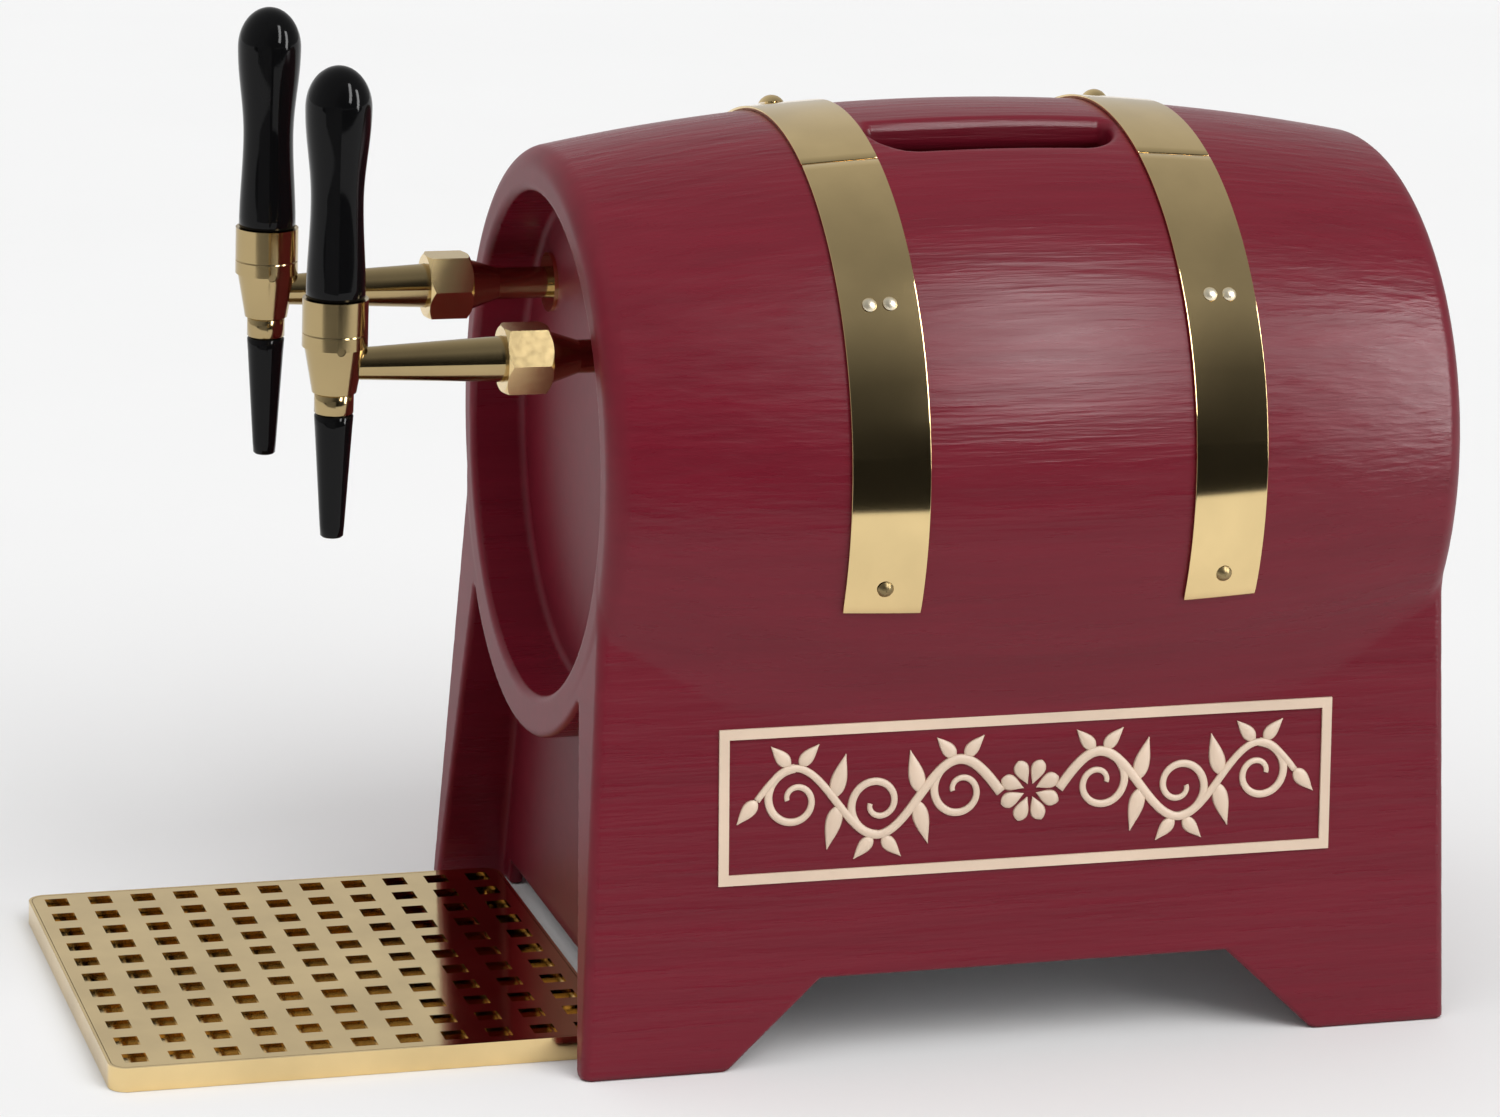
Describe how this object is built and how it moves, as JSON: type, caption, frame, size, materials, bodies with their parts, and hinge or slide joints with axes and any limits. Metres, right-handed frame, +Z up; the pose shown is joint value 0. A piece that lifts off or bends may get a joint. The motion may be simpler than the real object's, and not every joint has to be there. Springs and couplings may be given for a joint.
{
  "type": "mulled wine dispenser",
  "caption": "Barrel-shaped heated drink dispenser on a flared cradle, with lever taps, strap hoops, a carry grip and a loose perforated drip tray.",
  "frame": {"origin": "on the floor under the middle of the whole outline, drip tray in place", "axes": "+Z up, -Y towards the taps and the drip tray, +X to the side with the sign frame"},
  "size_m": [0.3332, 0.672, 0.4806],
  "materials": {
    "burgundy_shell": "glossy moulded burgundy",
    "brass": "polished brass with a soft sheen",
    "black_grip": "glossy black",
    "cream_trim": "cream painted line",
    "steel": "brushed",
    "black_plastic": "satin black",
    "pump_metal": "cast",
    "silicone_hose": "translucent silicone",
    "red_rocker": "glossy red",
    "white_plastic": "satin white",
    "rubber_seal": "matt",
    "element_metal": "heat-tinted",
    "copper": "bright copper",
    "grey_plastic": "satin grey"
  },
  "bodies": {
    "housing": {"barrel_housing": "burgundy_shell", "rear_panel": "steel", "rear_panel_screws": "steel", "base_plate": "steel", "base_screws": "steel", "front_hoop": "brass", "rear_hoop": "brass", "hoop_screws": "brass", "hoop_rivets": "brass", "hoop_clasps": "brass", "sign_frame": "cream_trim", "tap_body_left": "brass", "tap_body_right": "brass", "tap_collar_left": "brass", "tap_collar_right": "brass", "nozzle_left": "black_grip", "nozzle_right": "black_grip", "union_nut_left": "brass", "union_nut_right": "brass", "union_gaskets": "rubber_seal", "shank_left": "brass", "shank_right": "brass", "head_washers": "brass", "lock_nuts": "brass", "pivot_pin_left": "steel", "pivot_pin_right": "steel", "wine_inlet_left": "brass", "wine_inlet_right": "brass", "inlet_nuts": "brass", "power_inlet": "black_plastic", "switch_frame": "black_plastic", "thermostat_body": "grey_plastic", "water_tank": "steel", "tank_lid": "steel", "tank_brackets": "steel", "heating_element": "element_metal", "heating_coil_left": "steel", "heating_coil_right": "steel", "thermostat_bulb": "copper", "safety_cutout": "white_plastic", "pump_left": "pump_metal", "pump_right": "pump_metal", "feed_hoses": "silicone_hose", "riser_hoses": "silicone_hose", "outlet_hoses": "silicone_hose", "terminal_block": "white_plastic"},
    "left_handle": {"lever_left": "brass", "grip_left": "black_grip"},
    "right_handle": {"lever_right": "brass", "grip_right": "black_grip"},
    "left_plunger": {"plunger_left": "steel"},
    "right_plunger": {"plunger_right": "steel"},
    "tray": {"drip_tray": "brass"},
    "grid": {"drip_grid": "brass"},
    "knob": {"thermostat_knob": "black_plastic"},
    "rocker": {"switch_rocker": "red_rocker"}
  },
  "joints": [
    {"name": "left_handle_tilt", "type": "hinge", "parent": "housing", "child": "left_handle", "pos_m": [-0.0785, -0.224, 0.348], "axis": [1, 0, 0], "range_deg": [0, 40]},
    {"name": "left_plunger_slide", "type": "slide", "parent": "housing", "child": "left_plunger", "axis": [0, 1, 0], "range_m": [0, 0.0058]},
    {"name": "right_handle_tilt", "type": "hinge", "parent": "housing", "child": "right_handle", "pos_m": [0.0785, -0.224, 0.348], "axis": [1, 0, 0], "range_deg": [0, 40]},
    {"name": "right_plunger_slide", "type": "slide", "parent": "housing", "child": "right_plunger", "axis": [0, 1, 0], "range_m": [0, 0.0058]},
    {"name": "tray_slide", "type": "slide", "parent": "housing", "child": "tray", "axis": [0, -1, 0], "range_m": [0, 0.25]},
    {"name": "grid_lift", "type": "slide", "parent": "tray", "child": "grid", "axis": [0, 0, 1], "range_m": [0, 0.06]},
    {"name": "thermostat_turn", "type": "hinge", "parent": "housing", "child": "knob", "pos_m": [0.032, 0.31, 0.095], "axis": [0, -1, 0], "range_deg": [0, 270]},
    {"name": "rocker_tilt", "type": "hinge", "parent": "housing", "child": "rocker", "pos_m": [0, 0.2965, 0.095], "axis": [1, 0, 0], "range_deg": [0, 16]}
  ],
  "couplings": [
    {"joint": "left_plunger_slide", "follows": "left_handle_tilt", "m_per_rad": 0.008287},
    {"joint": "right_plunger_slide", "follows": "right_handle_tilt", "m_per_rad": 0.008287}
  ]
}
